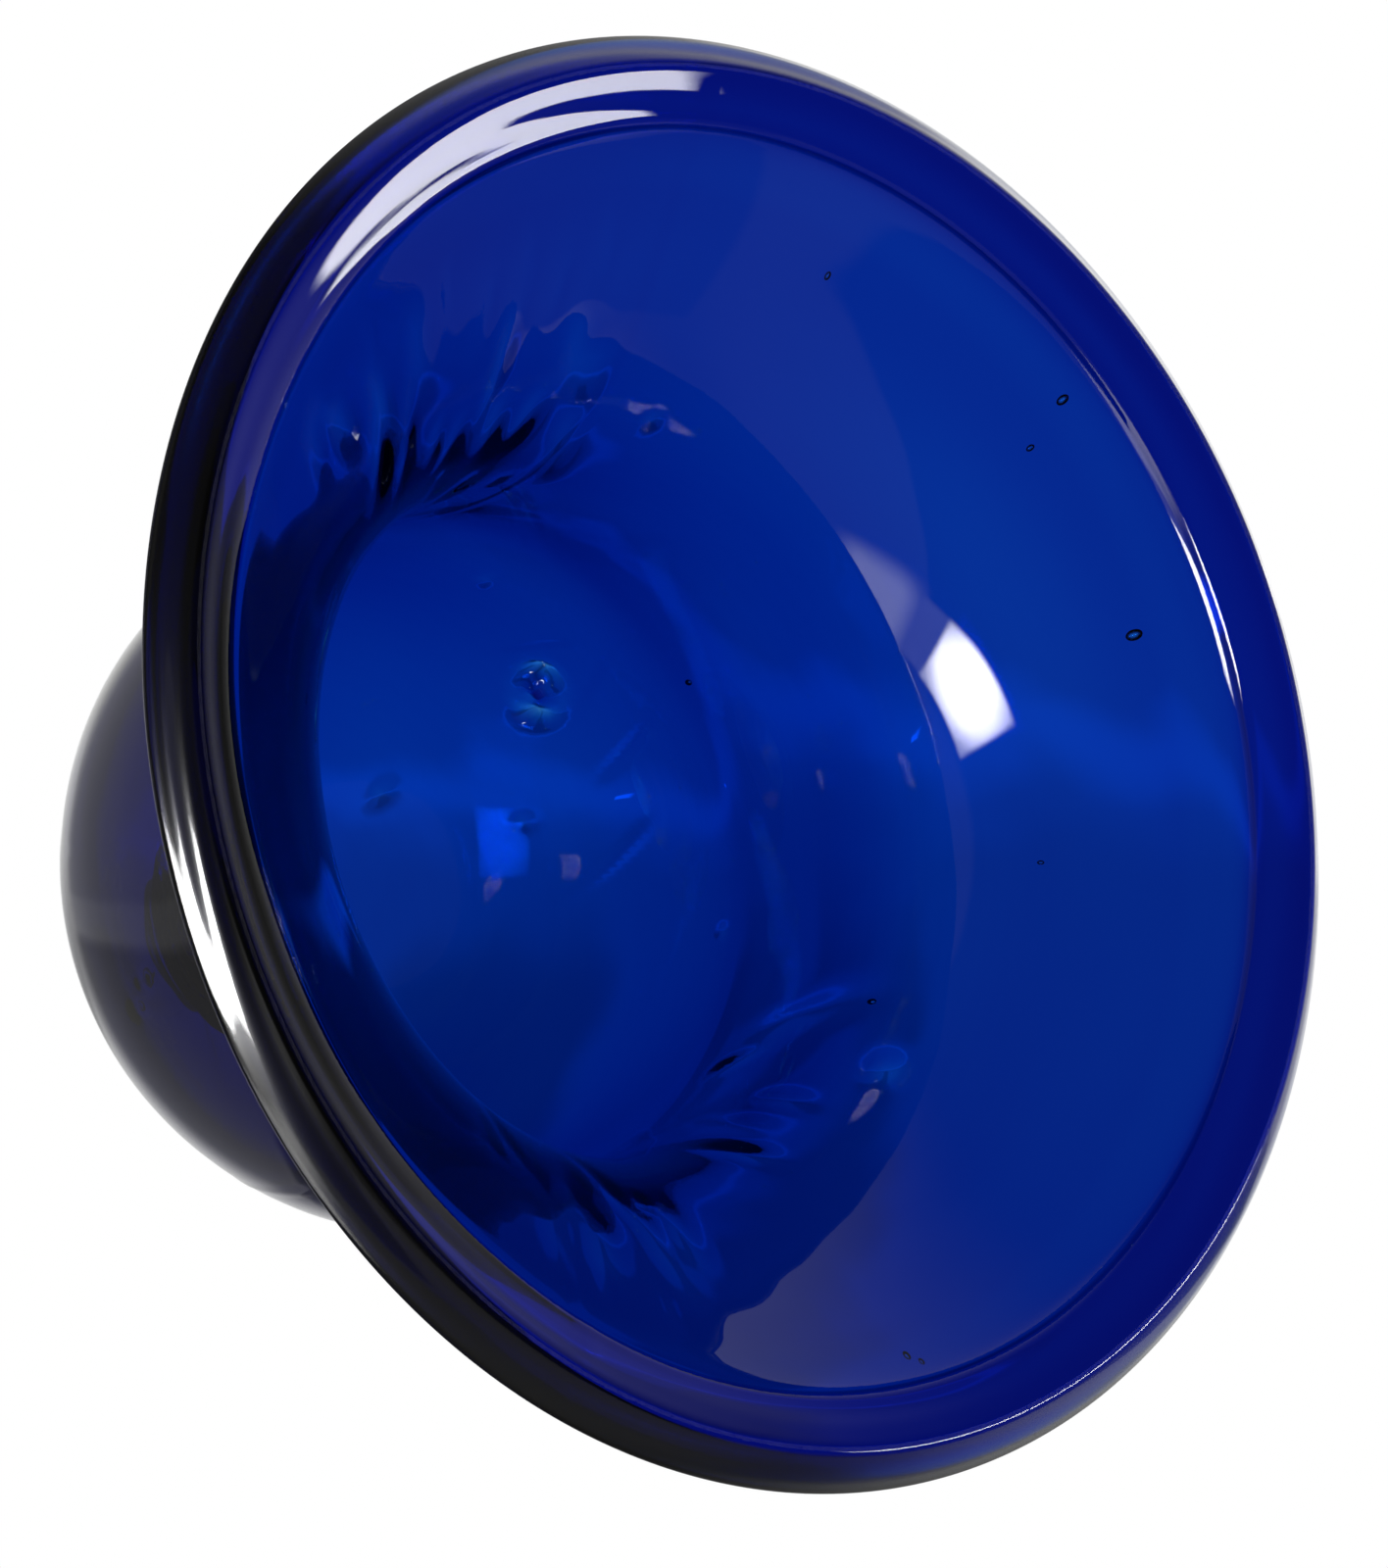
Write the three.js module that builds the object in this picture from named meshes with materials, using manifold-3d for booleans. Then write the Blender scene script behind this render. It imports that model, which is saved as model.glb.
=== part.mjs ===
// A hanging bell of cobalt-blue glass with its crown fitting. Millimetres, +Z up.
// The bell stands mouth down on its rim: the origin is on the bell's axis, in the plane of the mouth.
import * as THREE from 'three';
import { mergeVertices } from 'three/addons/utils/BufferGeometryUtils.js';
import Module from 'manifold-3d';

const wasm = await Module();
wasm.setup();

// Driving dimensions of the glass
const RIM_R = 75; // widest radius, at the edge of the flange
const WALL = 3.4; // glass thickness of skirt and crown
const CROWN_R = 0.542 * RIM_R; // outer radius of the globe-shaped crown
const CROWN_Z = 0.84 * RIM_R; // height of the crown's centre above the mouth
const CROWN_END = 98; // degrees from the pole to where the globe turns into the waist
const STEP = [0.864 * RIM_R, 3.3]; // radius and height at which the skirt starts, above a small step
const STEP_LIP = [0.871 * RIM_R, 1.95]; // the lip of the step, where the flange's face ends
const SKIRT_LEAN = 52; // degrees between the axis and the skirt where it starts
const SKIRT_PULL = [0.364, 0.589]; // share of the skirt's span over which its ends keep their directions
const FOOT = [70.4, 71.4]; // inner and outer radius of the flat ring that the bell stands on
const BEVEL_CORNER = [73.6, 1.6]; // where the directions of the bevel's two ends cross
const BEVEL_END = [74.4, 2.55]; // the bevel runs from the foot to here
const EDGE_Z = [3.2, 3.4]; // heights between which the flange is widest
const BACK_ROUNDING = [73.5, 4.2]; // where the rounding above the widest radius ends
const BACK_CORNER_Z = 3.9; // height at which the flange's upper side would reach the widest radius
const FLANGE_ROOT = [68, 5.4]; // the flange's upper side slopes up to here and meets the skirt
const HOLE_R = 4; // hole through the pole of the crown
const SHELL_TURN = 64; // facets round the glass
const SKIRT_STEPS = 11; // facets up the skirt
const CROWN_STEPS = 10; // facets from the waist to the crown hole
const BEND_STEPS = 3; // facets of each rounding of the flange

// Driving dimensions of the crown fitting
const GAP = 0.3; // clearance between touching pieces
const SMALL_TURN = 24; // facets round the small pieces
const DOME_STEPS = 3; // facets from the bore to the edge of a dished piece
const BOLT_R = 2.5;
const GASKET_R = 8; // outer gasket, under the cap
const INNER_GASKET_R = 6.8;
const GASKET_T = 1.5;
const SLEEVE_LENGTH = 2.6; // sleeve of the outer gasket that lines the crown hole
const CAP_R = 12;
const CAP_T = 1;
const COLLAR_R = 5;
const COLLAR_T = 1.4;
const EYE_R = 3.5; // centre line radius of the bolt's eye
const EYE_WIRE_R = 1.3;
const EYE_SUNK = 0.6; // depth to which the eye is sunk into the collar
const RING_R = 8; // centre line radius of the hanging ring
const RING_WIRE_R = 1;
const WASHER_R = 6.5;
const WASHER_T = 1.2;
const NUT_FLATS = 8; // width across the flats of both nuts
const CLAMP_NUT_T = 3.2;
const LOCK_NUT_T = 2.2;
const BOLT_END = 1.6; // length of bolt below the lock nut
const CHAMFER = 0.5;

const rad = THREE.MathUtils.degToRad;
const apexOut = CROWN_Z + CROWN_R;
const apexIn = apexOut - WALL;

const glass = new THREE.MeshStandardMaterial({ color: '#0a2fa0', roughness: 0.06, opacity: 0.5 });
glass.transparent = true;
const brass = new THREE.MeshStandardMaterial({ color: '#b08d4a', roughness: 0.38, metalness: 1 });
const rubber = new THREE.MeshStandardMaterial({ color: '#1c1c1e', roughness: 0.8 });

// ---- helpers -------------------------------------------------------------------------------

// Turns an outline of [radius, height] points about the Z axis. The outline runs counter-clockwise,
// and is closed here unless it starts and ends on the axis.
function turned(outline, turn = SMALL_TURN) {
  const closed = outline[0][0] > 0 ? [...outline, outline[0]] : outline;
  const points = closed.map(([r, z]) => new THREE.Vector2(r, z));
  return new THREE.LatheGeometry(points, turn).rotateX(Math.PI / 2);
}

// Points of an elliptical arc in the outline's plane. Angles are in degrees from straight up, outwards.
function arc([centreR, centreZ], [width, height], from, to, steps) {
  return Array.from({ length: steps + 1 }, (_, i) => {
    const angle = rad(from + ((to - from) * i) / steps);
    return [centreR + width * Math.sin(angle), centreZ + height * Math.cos(angle)];
  });
}

// Points of a curve from start to end that leaves and arrives in the directions of the corner.
function bend(start, corner, end) {
  const points = [start, corner, end].map((point) => new THREE.Vector2(...point));
  return new THREE.QuadraticBezierCurve(...points).getPoints(BEND_STEPS).map(({ x, y }) => [x, y]);
}

// The angle from the pole at which a sphere about the axis has the given distance from the axis.
function poleAngle(radius, distance) {
  return THREE.MathUtils.radToDeg(Math.asin(distance / radius));
}

// Part of a sphere about the crown's centre, between two distances from the axis.
function domeArc(radius, fromR, toR) {
  return arc([0, CROWN_Z], [radius, radius], poleAngle(radius, fromR), poleAngle(radius, toR), DOME_STEPS);
}

// A dished ring that follows the crown: its underside is `under` from the crown's centre.
function dishedRing(under, thickness, holeR, outerR) {
  return turned([...domeArc(under, holeR, outerR), ...domeArc(under + thickness, outerR, holeR)]);
}

function ringOfWire(centreR, wireR, turn, wireTurn) {
  return new THREE.TorusGeometry(centreR, wireR, wireTurn, turn);
}

function toSolid(geometry) {
  const bare = geometry.clone();
  bare.deleteAttribute('normal');
  bare.deleteAttribute('uv');
  const merged = mergeVertices(bare, 1e-4);
  const mesh = new wasm.Mesh({
    numProp: 3,
    vertProperties: new Float32Array(merged.attributes.position.array),
    triVerts: new Uint32Array(merged.index.array),
  });
  return new wasm.Manifold(mesh);
}

function toGeometry(solid) {
  const mesh = solid.getMesh();
  const geometry = new THREE.BufferGeometry();
  geometry.setAttribute('position', new THREE.BufferAttribute(new Float32Array(mesh.vertProperties), 3));
  geometry.setIndex(new THREE.BufferAttribute(new Uint32Array(mesh.triVerts), 1));
  geometry.computeVertexNormals();
  return geometry;
}

function piece(name, geometry, material, z = 0) {
  const mesh = new THREE.Mesh(geometry, material);
  mesh.name = name;
  mesh.position.z = z;
  return mesh;
}

// ---- the glass -----------------------------------------------------------------------------

// The skirt's inner surface, from the step inside the flange up to the waist, as a curve
// that leaves the step at SKIRT_LEAN and runs smoothly into the globe of the crown.
function skirtInside() {
  const end = rad(CROWN_END);
  const innerR = CROWN_R - WALL;
  const start = new THREE.Vector2(...STEP);
  const waist = new THREE.Vector2(innerR * Math.sin(end), CROWN_Z + innerR * Math.cos(end));
  const span = start.distanceTo(waist);
  const lean = new THREE.Vector2(-Math.sin(rad(SKIRT_LEAN)), Math.cos(rad(SKIRT_LEAN)));
  const rise = new THREE.Vector2(-Math.cos(end), Math.sin(end));
  const leave = start.clone().addScaledVector(lean, span * SKIRT_PULL[0]);
  const arrive = waist.clone().addScaledVector(rise, -span * SKIRT_PULL[1]);
  return new THREE.CubicBezierCurve(start, leave, arrive, waist);
}

// Outline of the glass: up the inside, round the crown hole, down the outside, round the flange.
function shellOutline() {
  const skirt = skirtInside();
  const inside = [];
  const outside = [];
  for (let i = 0; i <= SKIRT_STEPS; i += 1) {
    const at = skirt.getPoint(i / SKIRT_STEPS);
    const along = skirt.getTangent(i / SKIRT_STEPS);
    inside.push([at.x, at.y]);
    outside.unshift([at.x + along.y * WALL, at.y - along.x * WALL]);
  }
  const innerR = CROWN_R - WALL;
  const holeIn = poleAngle(innerR, HOLE_R);
  const holeOut = poleAngle(CROWN_R, HOLE_R);
  const crownIn = arc([0, CROWN_Z], [innerR, innerR], CROWN_END, holeIn, CROWN_STEPS);
  const crownOut = arc([0, CROWN_Z], [CROWN_R, CROWN_R], holeOut, CROWN_END, CROWN_STEPS);
  const aboveFlange = outside.filter(([, z]) => z > FLANGE_ROOT[1] + 1);
  const back = bend(BACK_ROUNDING, [RIM_R, BACK_CORNER_Z], [RIM_R, EDGE_Z[1]]);
  const bevel = bend(BEVEL_END, BEVEL_CORNER, [FOOT[1], 0]);
  return [
    ...inside, ...crownIn.slice(1), ...crownOut.slice(0, -1), ...aboveFlange,
    FLANGE_ROOT, ...back, [RIM_R, EDGE_Z[0]], ...bevel, [FOOT[0], 0], STEP_LIP,
  ];
}

function bellShell() {
  return piece('bell_shell', turned(shellOutline().reverse(), SHELL_TURN), glass);
}

// ---- the crown fitting, from the outside in --------------------------------------------------

const gasketUnder = CROWN_R + GAP;
const capUnder = gasketUnder + GASKET_T + GAP;
const collarZ = CROWN_Z + capUnder + CAP_T + GAP;
const eyeZ = collarZ + COLLAR_T + EYE_R + EYE_WIRE_R - EYE_SUNK;
const washerTop = apexIn - GAP - GASKET_T - GAP;
const clampNutTop = washerTop - WASHER_T - GAP;
const lockNutTop = clampNutTop - CLAMP_NUT_T - GAP;
const boltBottom = lockNutTop - LOCK_NUT_T - BOLT_END;

// A soft disc under the cap, with a sleeve that keeps the bolt off the edge of the crown hole.
function outerGasket() {
  const boreR = BOLT_R + GAP;
  const sleeveR = HOLE_R - GAP;
  const sleeveZ = apexOut - SLEEVE_LENGTH;
  const outline = [
    [boreR, sleeveZ],
    [sleeveR, sleeveZ],
    ...domeArc(gasketUnder, sleeveR, GASKET_R),
    ...domeArc(gasketUnder + GASKET_T, GASKET_R, boreR),
  ];
  return piece('outer_gasket', turned(outline), rubber);
}

function crownCap() {
  return piece('crown_cap', dishedRing(capUnder, CAP_T, BOLT_R + GAP, CAP_R), brass);
}

// The bolt's shank and collar are turned; its eye is a ring of wire joined to the collar.
function hangerBolt() {
  const shank = turned([
    [0, boltBottom],
    [BOLT_R - CHAMFER, boltBottom],
    [BOLT_R, boltBottom + CHAMFER],
    [BOLT_R, collarZ],
    [COLLAR_R, collarZ],
    [COLLAR_R, collarZ + COLLAR_T - CHAMFER],
    [COLLAR_R - CHAMFER, collarZ + COLLAR_T],
    [0, collarZ + COLLAR_T],
  ]);
  const eye = ringOfWire(EYE_R, EYE_WIRE_R, 24, 10).rotateY(Math.PI / 2).translate(0, 0, eyeZ);
  return piece('hanger_bolt', toGeometry(toSolid(shank).add(toSolid(eye))), brass);
}

function innerGasket() {
  const boreR = BOLT_R + GAP;
  const outline = [
    [boreR, washerTop + GAP],
    [INNER_GASKET_R, washerTop + GAP],
    ...domeArc(CROWN_R - WALL - GAP, INNER_GASKET_R, boreR),
  ];
  return piece('inner_gasket', turned(outline), rubber);
}

function innerWasher() {
  const boreR = BOLT_R + GAP;
  const outline = [
    [boreR, -WASHER_T],
    [WASHER_R, -WASHER_T],
    [WASHER_R, 0],
    [boreR, 0],
  ];
  return piece('inner_washer', turned(outline), brass, washerTop);
}

// A hexagon nut with a plain bore and corners chamfered on its lower side.
function hexNut(name, thickness, topZ) {
  const cornerR = NUT_FLATS / 2 / Math.cos(rad(30));
  const hexagon = toSolid(new THREE.CylinderGeometry(cornerR, cornerR, thickness, 6).rotateX(Math.PI / 2));
  const blank = toSolid(turned([
    [BOLT_R + GAP, -thickness],
    [cornerR - CHAMFER, -thickness],
    [cornerR + CHAMFER, CHAMFER - thickness],
    [cornerR + CHAMFER, thickness],
    [BOLT_R + GAP, thickness],
  ]));
  const nut = hexagon.translate(0, 0, -thickness / 2).intersect(blank);
  return piece(name, toGeometry(nut), brass, topZ);
}

function hangingRing() {
  const ring = ringOfWire(RING_R, RING_WIRE_R, 36, 8).rotateX(Math.PI / 2);
  return piece('hanging_ring', ring, brass, eyeZ + RING_R);
}

const fitting = new THREE.Group();
fitting.add(
  outerGasket(),
  crownCap(),
  hangerBolt(),
  innerGasket(),
  innerWasher(),
  hexNut('clamp_nut', CLAMP_NUT_T, clampNutTop),
  hexNut('lock_nut', LOCK_NUT_T, lockNutTop),
  hangingRing(),
);

const bell = new THREE.Group();
bell.add(bellShell(), fitting);

export default bell;
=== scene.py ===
"""Looks for a hanging bell of cobalt-blue glass with a brass crown fitting. Metres, +Z up.

The bell stands mouth down on its rim at the origin, and the camera looks up into its mouth.
"""
import math

import bpy
import numpy as np
from mathutils import Matrix, Vector


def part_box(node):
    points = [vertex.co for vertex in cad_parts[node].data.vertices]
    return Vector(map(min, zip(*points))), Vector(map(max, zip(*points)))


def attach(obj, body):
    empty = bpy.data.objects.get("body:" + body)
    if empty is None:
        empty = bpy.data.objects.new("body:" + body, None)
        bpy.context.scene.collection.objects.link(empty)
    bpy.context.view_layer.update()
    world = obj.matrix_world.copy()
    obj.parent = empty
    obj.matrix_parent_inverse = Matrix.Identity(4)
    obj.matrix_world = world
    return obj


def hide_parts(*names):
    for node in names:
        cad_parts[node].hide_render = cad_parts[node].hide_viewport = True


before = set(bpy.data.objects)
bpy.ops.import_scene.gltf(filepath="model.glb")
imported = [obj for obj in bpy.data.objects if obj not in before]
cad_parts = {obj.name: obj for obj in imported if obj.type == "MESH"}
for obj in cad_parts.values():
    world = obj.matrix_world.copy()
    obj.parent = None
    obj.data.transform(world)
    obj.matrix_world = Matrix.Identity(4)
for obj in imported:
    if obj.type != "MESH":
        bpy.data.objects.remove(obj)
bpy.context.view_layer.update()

MM = 0.001

# ---- sizes of the glass -----------------------------------------------------------------------

RIM_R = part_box("bell_shell")[1].x
WALL = 3.4 * MM
CROWN_R = 0.542 * RIM_R  # outer radius of the globe-shaped crown
CROWN_Z = 0.84 * RIM_R  # height of its centre
CROWN_END = 98  # degrees from the pole to where the globe turns into the waist
STEP = (0.864 * RIM_R, 3.3 * MM)  # where the skirt starts, above the step inside the flange
STEP_LIP = (0.871 * RIM_R, 1.95 * MM)
SKIRT_LEAN = 52  # degrees between the axis and the skirt where it starts
SKIRT_PULL = (0.364, 0.589)  # how far its curve keeps to the directions of its two ends
FOOT = (70.4 * MM, 71.4 * MM)  # flat ring that the bell stands on
BEVEL_CORNER = (73.6 * MM, 1.6 * MM)  # where the directions of the bevel's two ends cross
BEVEL_END = (74.4 * MM, 2.55 * MM)  # the bevel runs from the foot to here
EDGE_Z = (3.2 * MM, 3.4 * MM)  # heights between which the flange is widest
BACK_CORNER_Z = 3.9 * MM  # where the flange's upper side would reach the widest radius
BACK_ROUNDING = 1.5 * MM
FLANGE_ROOT = (67 * MM, 5.6 * MM)  # where the flange's upper side meets the skirt
HOLE_R = 4 * MM

# ---- sizes of the fitting ---------------------------------------------------------------------

GAP = 0.3 * MM
BOLT_R = 2.5 * MM
THREAD_PITCH = 0.8 * MM
THREAD_DEPTH = 0.42 * MM
THREAD_LENGTH = 12 * MM
CHAMFER = 0.5 * MM
COLLAR_R = 5 * MM
COLLAR_T = 1.4 * MM
COLLAR_ROUNDING = 0.35 * MM
EYE_R = 3.5 * MM
EYE_WIRE_R = 1.3 * MM
EYE_SUNK = 0.6 * MM  # depth to which the eye is sunk into the collar
RING_R = 8 * MM
RING_WIRE_R = 1 * MM
NUT_FLATS = 8 * MM
CAP_R = 12 * MM
CAP_T = 1 * MM
CAP_SINK = 0.36 * MM  # depth of the cap's pan, outside its middle
CAP_ROLL = (CAP_R - 0.7 * MM, 0.55 * MM, 0.20 * MM)  # radius, half width and height of its rolled edge
CAP_GROOVE = (8.2 * MM, 0.6 * MM, -0.16 * MM)  # the same of the ring pressed into it
GASKET_R = 8 * MM
GASKET_T = 1.5 * MM
SLEEVE_R = HOLE_R - GAP

# ---- camera -----------------------------------------------------------------------------------

LENS = 136.3  # millimetres
SENSOR = 36  # millimetres
RIM_DISTANCE = 8 * RIM_R  # from the camera to the middle of the rim
VIEW_RISE = 50.4  # degrees by which the camera looks up
VIEW_ROLL = 107.9  # degrees by which it is turned about its line of sight
AIM = (0.01365, -0.00565)  # the rim's middle, right of and below the line of sight, as tangents
AIM_Z = 3.1 * MM  # height of the rim's middle


def view_axes():
    """The camera's right, up and forward directions."""
    rise, roll = math.radians(VIEW_RISE), math.radians(VIEW_ROLL)
    forward = Vector((0, math.cos(rise), math.sin(rise)))
    level_right = Vector((1, 0, 0))
    level_up = level_right.cross(forward)
    up = level_up * math.cos(roll) + level_right * math.sin(roll)
    return forward.cross(up), up, forward


def add_camera():
    right, up, forward = view_axes()
    offset = (right * AIM[0] - up * AIM[1] + forward) * RIM_DISTANCE
    camera = bpy.data.objects.new("camera", bpy.data.cameras.new("camera"))
    camera.data.lens = LENS
    camera.data.sensor_width = SENSOR
    camera.data.clip_start, camera.data.clip_end = 0.01, 50
    turn = Matrix((right, up, -forward)).transposed().to_4x4()
    camera.matrix_world = Matrix.Translation(Vector((0, 0, AIM_Z)) - offset) @ turn
    bpy.context.scene.collection.objects.link(camera)
    bpy.context.scene.camera = camera


# ---- shader nodes -----------------------------------------------------------------------------


class Tree:
    """Makes the nodes of one node tree, so that a formula can be written in one line."""

    def __init__(self, tree):
        self.tree = tree
        tree.nodes.clear()

    def node(self, kind, inputs=None, **settings):
        made = self.tree.nodes.new(kind)
        for name, value in settings.items():
            setattr(made, name, value)
        for name, value in (inputs or {}).items():
            self.give(made.inputs[name], value)
        return made

    def give(self, socket, value):
        if isinstance(value, bpy.types.NodeSocket):
            self.tree.links.new(value, socket)
        else:
            socket.default_value = value

    def math(self, operation, first, second=0.0, third=0.0):
        inputs = {0: first, 1: second, 2: third}
        return self.node("ShaderNodeMath", inputs, operation=operation).outputs[0]

    def dot(self, vector, other):
        inputs = {0: vector, 1: tuple(other)}
        return self.node("ShaderNodeVectorMath", inputs, operation="DOT_PRODUCT").outputs["Value"]

    def ramp(self, value, start, end, low=0.0, high=1.0):
        """Goes smoothly from low to high as value goes from start to end."""
        inputs = {"Value": value, "From Min": start, "From Max": end, "To Min": low, "To Max": high}
        made = self.node("ShaderNodeMapRange", inputs, interpolation_type="SMOOTHSTEP")
        return made.outputs["Result"]

    def window(self, value, low, high, soft):
        """1 between low and high, and 0 outside, over a soft edge."""
        rise = self.ramp(value, low - soft, low + soft)
        return self.math("MULTIPLY", rise, self.ramp(value, high - soft, high + soft, 1.0, 0.0))

    def from_axis(self, place):
        """Distance from the Z axis."""
        split = self.node("ShaderNodeSeparateXYZ", {0: place}).outputs
        squares = [self.math("MULTIPLY", part, part) for part in (split[0], split[1])]
        return self.math("SQRT", self.math("ADD", *squares))

    def blend(self, share, first, second):
        """Numbers mixed by share."""
        inputs = {0: share, 2: first, 3: second}
        return self.node("ShaderNodeMix", inputs, data_type="FLOAT").outputs[0]

    def tint(self, share, first, second):
        """Colours mixed by share."""
        inputs = {0: share, 6: first, 7: second}
        return self.node("ShaderNodeMix", inputs, data_type="RGBA").outputs[2]

    def noise(self, place, scale, detail=3.0, roughness=0.5, distortion=0.0):
        inputs = {"Vector": place, "Scale": scale, "Detail": detail}
        inputs.update({"Roughness": roughness, "Distortion": distortion})
        return self.node("ShaderNodeTexNoise", inputs).outputs["Fac"]

    def bump(self, height, distance, strength=1.0):
        inputs = {"Height": height, "Distance": distance, "Strength": strength}
        return self.node("ShaderNodeBump", inputs).outputs["Normal"]


def new_material(name):
    material = bpy.data.materials.new(name)
    material.use_nodes = True
    tree = Tree(material.node_tree)
    place = tree.node("ShaderNodeTexCoord").outputs["Object"]
    return material, tree, place


# ---- studio -----------------------------------------------------------------------------------

# How bright things are. Pairs are above and below, unless it says otherwise.
WHITE_LIGHT = 1.0  # what the camera sees behind the bell
DARK_LIGHT = 0.03  # round the photographer
SIDE_LIGHT = 0.42  # at the sides of the room
TABLE_LIGHT = 0.13
SHADOW_LIGHT = 0.06
CORNER_LIGHT = 0.12
WALL_LIGHT = (0.45, 0.30)
STRIPE_LIGHT = 0.11  # on top of the wall's
CURTAIN_LIGHT = 2.6
SILL_LIGHT = 0.7
WINDOW_LIGHT = (27.0, 5.0)  # in its middle and at its edge
SIDE_WINDOW_LIGHT = 12.0
BACKDROP_LIGHT = (0.95, 0.78)
HORIZON_LIGHT = 0.3  # on top of the backdrop's
CROWN_SHADE = 0.68  # share of the backdrop's light that is left low down behind the crown
BACKDROP_EDGE_LIGHT = (0.95, 0.42)
LAMP_LIGHT = 3.2

# Where they are, as degrees to the right of and below the way back to the photographer. The last
# number is how soft the edges are.
SHADOW = ((62, 135), (30, 57), 1.0)
CURTAIN = ((-34, -9), (28, 50), 5.0)
SILL = ((-30, -9), (17, 26), 1.0)
WINDOW = ((-30.5, -9), (-6.5, 17.5), 1.0)
SIDE_WINDOW = ((77, 103), (-3, 13), 1.0)
LAMP = ((141, 153), (-55, -45), 2.0)
WINDOW_MIDDLE = (-18.0, 6.0)
WINDOW_SPREAD = (12.0, 13.0)
TABLE_NORMAL = (-0.377, -0.816, 0.438)  # along the camera's right, up and forward directions

FLOOR_R = 6.0
FLOOR_GLOW = 0.3


def add_world():
    """A white studio with a dark side, where the photographer stands, and bright windows in it."""
    world = bpy.data.worlds.new("studio")
    world.use_nodes = True
    bpy.context.scene.world = world
    tree = Tree(world.node_tree)
    right, up, forward = view_axes()
    sight = tree.node("ShaderNodeTexCoord").outputs["Generated"]
    ahead = tree.dot(sight, forward)
    back = tree.math("MULTIPLY", ahead, -1.0)
    across = tree.dot(sight, right)
    below = tree.dot(sight, -up)
    angle = tree.math("DEGREES", tree.math("ARCCOSINE", back))
    spread = tree.math("SQRT", tree.math("SUBTRACT", 1.0001, tree.math("MULTIPLY", ahead, ahead)))
    scale = tree.math("DIVIDE", angle, spread)
    right_by = tree.math("MULTIPLY", across, scale)
    down_by = tree.math("MULTIPLY", below, scale)

    def patch(columns, rows, soft):
        """1 inside a rectangle of directions, and 0 outside."""
        inside_rows = tree.window(down_by, *rows, soft)
        return tree.math("MULTIPLY", tree.window(right_by, *columns, soft), inside_rows)

    light = tree.ramp(angle, 80, 128, DARK_LIGHT, SIDE_LIGHT)
    # The table: its far edge is the horizon of a plane that faces up and towards the photographer.
    table_normal = forward * TABLE_NORMAL[2] + right * TABLE_NORMAL[0] + up * TABLE_NORMAL[1]
    on_table = tree.ramp(tree.dot(sight, table_normal), -0.012, 0.012)
    near = tree.ramp(angle, 70, 104, 1.0, 0.0)
    light = tree.blend(tree.math("MULTIPLY", on_table, near), light, TABLE_LIGHT)
    light = tree.blend(patch(*SHADOW), light, SHADOW_LIGHT)
    # The wall on the left-hand side, with a light stripe along it, and the dim corner beside it.
    light = tree.blend(tree.window(right_by, -58, -32, 2.0), light, CORNER_LIGHT)
    stripe = tree.math("MULTIPLY", tree.window(down_by, 15, 29, 2.0), STRIPE_LIGHT)
    wall = tree.math("ADD", tree.ramp(down_by, 28, 34, *WALL_LIGHT), stripe)
    light = tree.blend(tree.ramp(right_by, -62, -54, 1.0, 0.0), light, wall)
    # The window, brightest in its middle, with its sill and a bright curtain below.
    light = tree.blend(patch(*CURTAIN), light, CURTAIN_LIGHT)
    light = tree.blend(patch(*SILL), light, SILL_LIGHT)
    squares = []
    for place, middle, size in zip((right_by, down_by), WINDOW_MIDDLE, WINDOW_SPREAD):
        off = tree.math("DIVIDE", tree.math("SUBTRACT", place, middle), size)
        squares.append(tree.math("POWER", off, 2.0))
    from_middle = tree.math("SQRT", tree.math("ADD", *squares))
    light = tree.blend(patch(*WINDOW), light, tree.ramp(from_middle, 0.55, 1.3, *WINDOW_LIGHT))
    light = tree.blend(patch(*SIDE_WINDOW), light, SIDE_WINDOW_LIGHT)
    # Behind the bell the white turns a little darker below a horizon, with a bright band above it.
    backdrop = tree.ramp(below, 0.0, 0.02, *BACKDROP_LIGHT)
    band = tree.window(below, -0.012, 0.002, 0.006)
    backdrop = tree.math("ADD", backdrop, tree.math("MULTIPLY", band, HORIZON_LIGHT))
    behind_crown = tree.window(across, -0.055, 0.01, 0.015)
    shaded = tree.math("MULTIPLY", tree.ramp(below, 0.01, 0.06), behind_crown)
    backdrop = tree.math("MULTIPLY", backdrop, tree.ramp(shaded, 0.0, 1.0, 1.0, CROWN_SHADE))
    light = tree.blend(tree.ramp(ahead, 0.78, 0.94), light, backdrop)
    # The left-hand edge of the backdrop, and a lamp beside it.
    left_end = tree.ramp(right_by, -150, -140, 1.0, 0.0)
    edge = tree.math("MULTIPLY", tree.window(angle, 150, 166, 4.0), left_end)
    light = tree.blend(edge, light, tree.ramp(down_by, -20, 60, *BACKDROP_EDGE_LIGHT))
    light = tree.blend(patch(*LAMP), light, LAMP_LIGHT)

    seen = tree.node("ShaderNodeLightPath").outputs["Is Camera Ray"]
    light = tree.blend(seen, light, WHITE_LIGHT)
    shader = tree.node("ShaderNodeBackground", {"Color": (1, 1, 1, 1), "Strength": light})
    output = tree.node("ShaderNodeOutputWorld")
    tree.give(output.inputs["Surface"], shader.outputs[0])


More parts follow.
